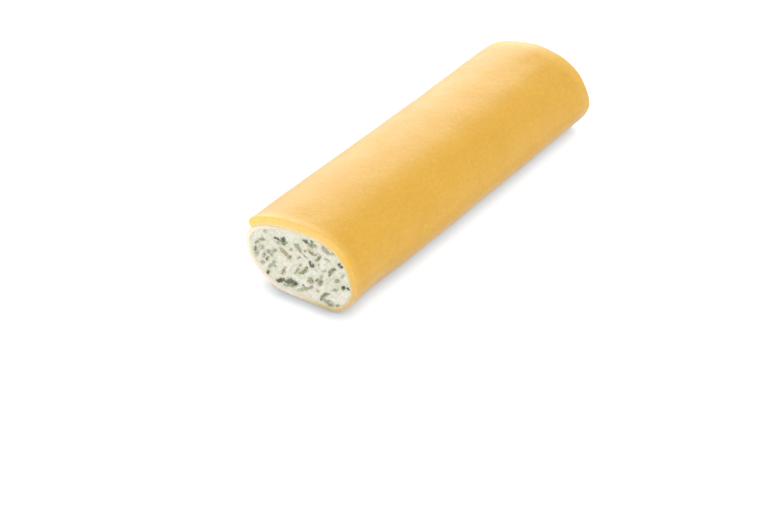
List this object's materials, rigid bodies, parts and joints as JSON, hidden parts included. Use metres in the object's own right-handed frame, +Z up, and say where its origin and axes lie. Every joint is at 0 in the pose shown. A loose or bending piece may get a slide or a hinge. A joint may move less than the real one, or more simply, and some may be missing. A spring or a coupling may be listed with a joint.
{
  "type": "cannelloni",
  "caption": "Ready-to-eat cannelloni: an egg pasta sheet rolled with a lap round a ricotta and spinach filling, cut square at both ends.",
  "frame": {"origin": "on the table, under the middle of the roll", "axes": "+Y along the roll, away from the front end; +Z up; +X to the right as seen from the front end, so the free edge of the lap is on the -X side"},
  "size_m": [0.0364, 0.12, 0.0233],
  "materials": {
    "pasta_sheet": null,
    "filling": null
  },
  "bodies": {
    "root": {"pasta_sheet": "pasta_sheet", "filling": "filling"}
  },
  "joints": []
}
